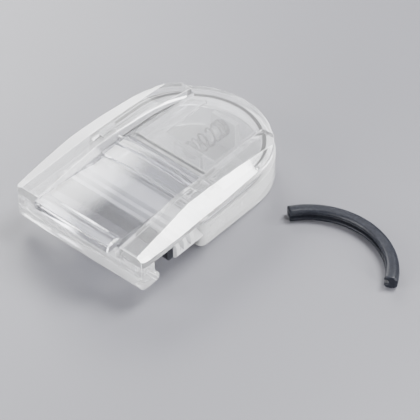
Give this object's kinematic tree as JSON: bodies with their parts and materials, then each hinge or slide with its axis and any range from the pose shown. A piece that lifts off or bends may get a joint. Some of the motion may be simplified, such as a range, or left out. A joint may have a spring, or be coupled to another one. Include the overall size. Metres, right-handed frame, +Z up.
{
  "type": "pocket eyelash curler",
  "caption": "Flat pocket eyelash curler in clear plastic: a spring-loaded slide pushes a padded curved jaw against a front bar, under a flip-up window, with a loose spare pad.",
  "frame": {"origin": "middle of the flat base of the lower shell, on the surface it lies on", "axes": "+X across the curler, +Y from its front bar to its rear, +Z up"},
  "size_m": [0.0771, 0.0604, 0.015],
  "materials": {
    "clear_frame": "polished, water-clear moulded plastic",
    "clear_cover": "polished, water-clear moulded plastic, thin",
    "clear_slider": "polished clear moulded plastic",
    "silicone": "satin black silicone",
    "spring_steel": "drawn wire"
  },
  "bodies": {
    "frame": {"front_bar": "clear_frame", "left_wing": "clear_frame", "right_wing": "clear_frame", "upper_housing": "clear_frame", "left_guide_rail": "clear_frame", "right_guide_rail": "clear_frame", "rear_cover": "clear_frame", "cover_axle": "clear_frame"},
    "cover": {"front_cover": "clear_cover"},
    "slider": {"lower_shell": "clear_slider", "jaw": "clear_slider", "lash_pad": "silicone", "spring_block": "clear_slider", "spring_guide": "clear_slider", "return_spring": "spring_steel"},
    "spare": {"spare_pad": "silicone"}
  },
  "joints": [
    {"name": "jaw_slide", "type": "slide", "parent": "frame", "child": "slider", "axis": [0, -1, 0], "range_m": [0, 0.0055], "stiffness_N_per_m": 120, "springref_m": -0.004, "deforming": ["return_spring"]},
    {"name": "cover_hinge", "type": "hinge", "parent": "frame", "child": "cover", "pos_m": [0, -0.012, 0.0115], "axis": [-1, 0, 0], "range_deg": [0, 90]},
    {"name": "spare_lift", "type": "slide", "parent": "frame", "child": "spare", "axis": [0, 0, 1], "range_m": [0, 0.02]}
  ]
}
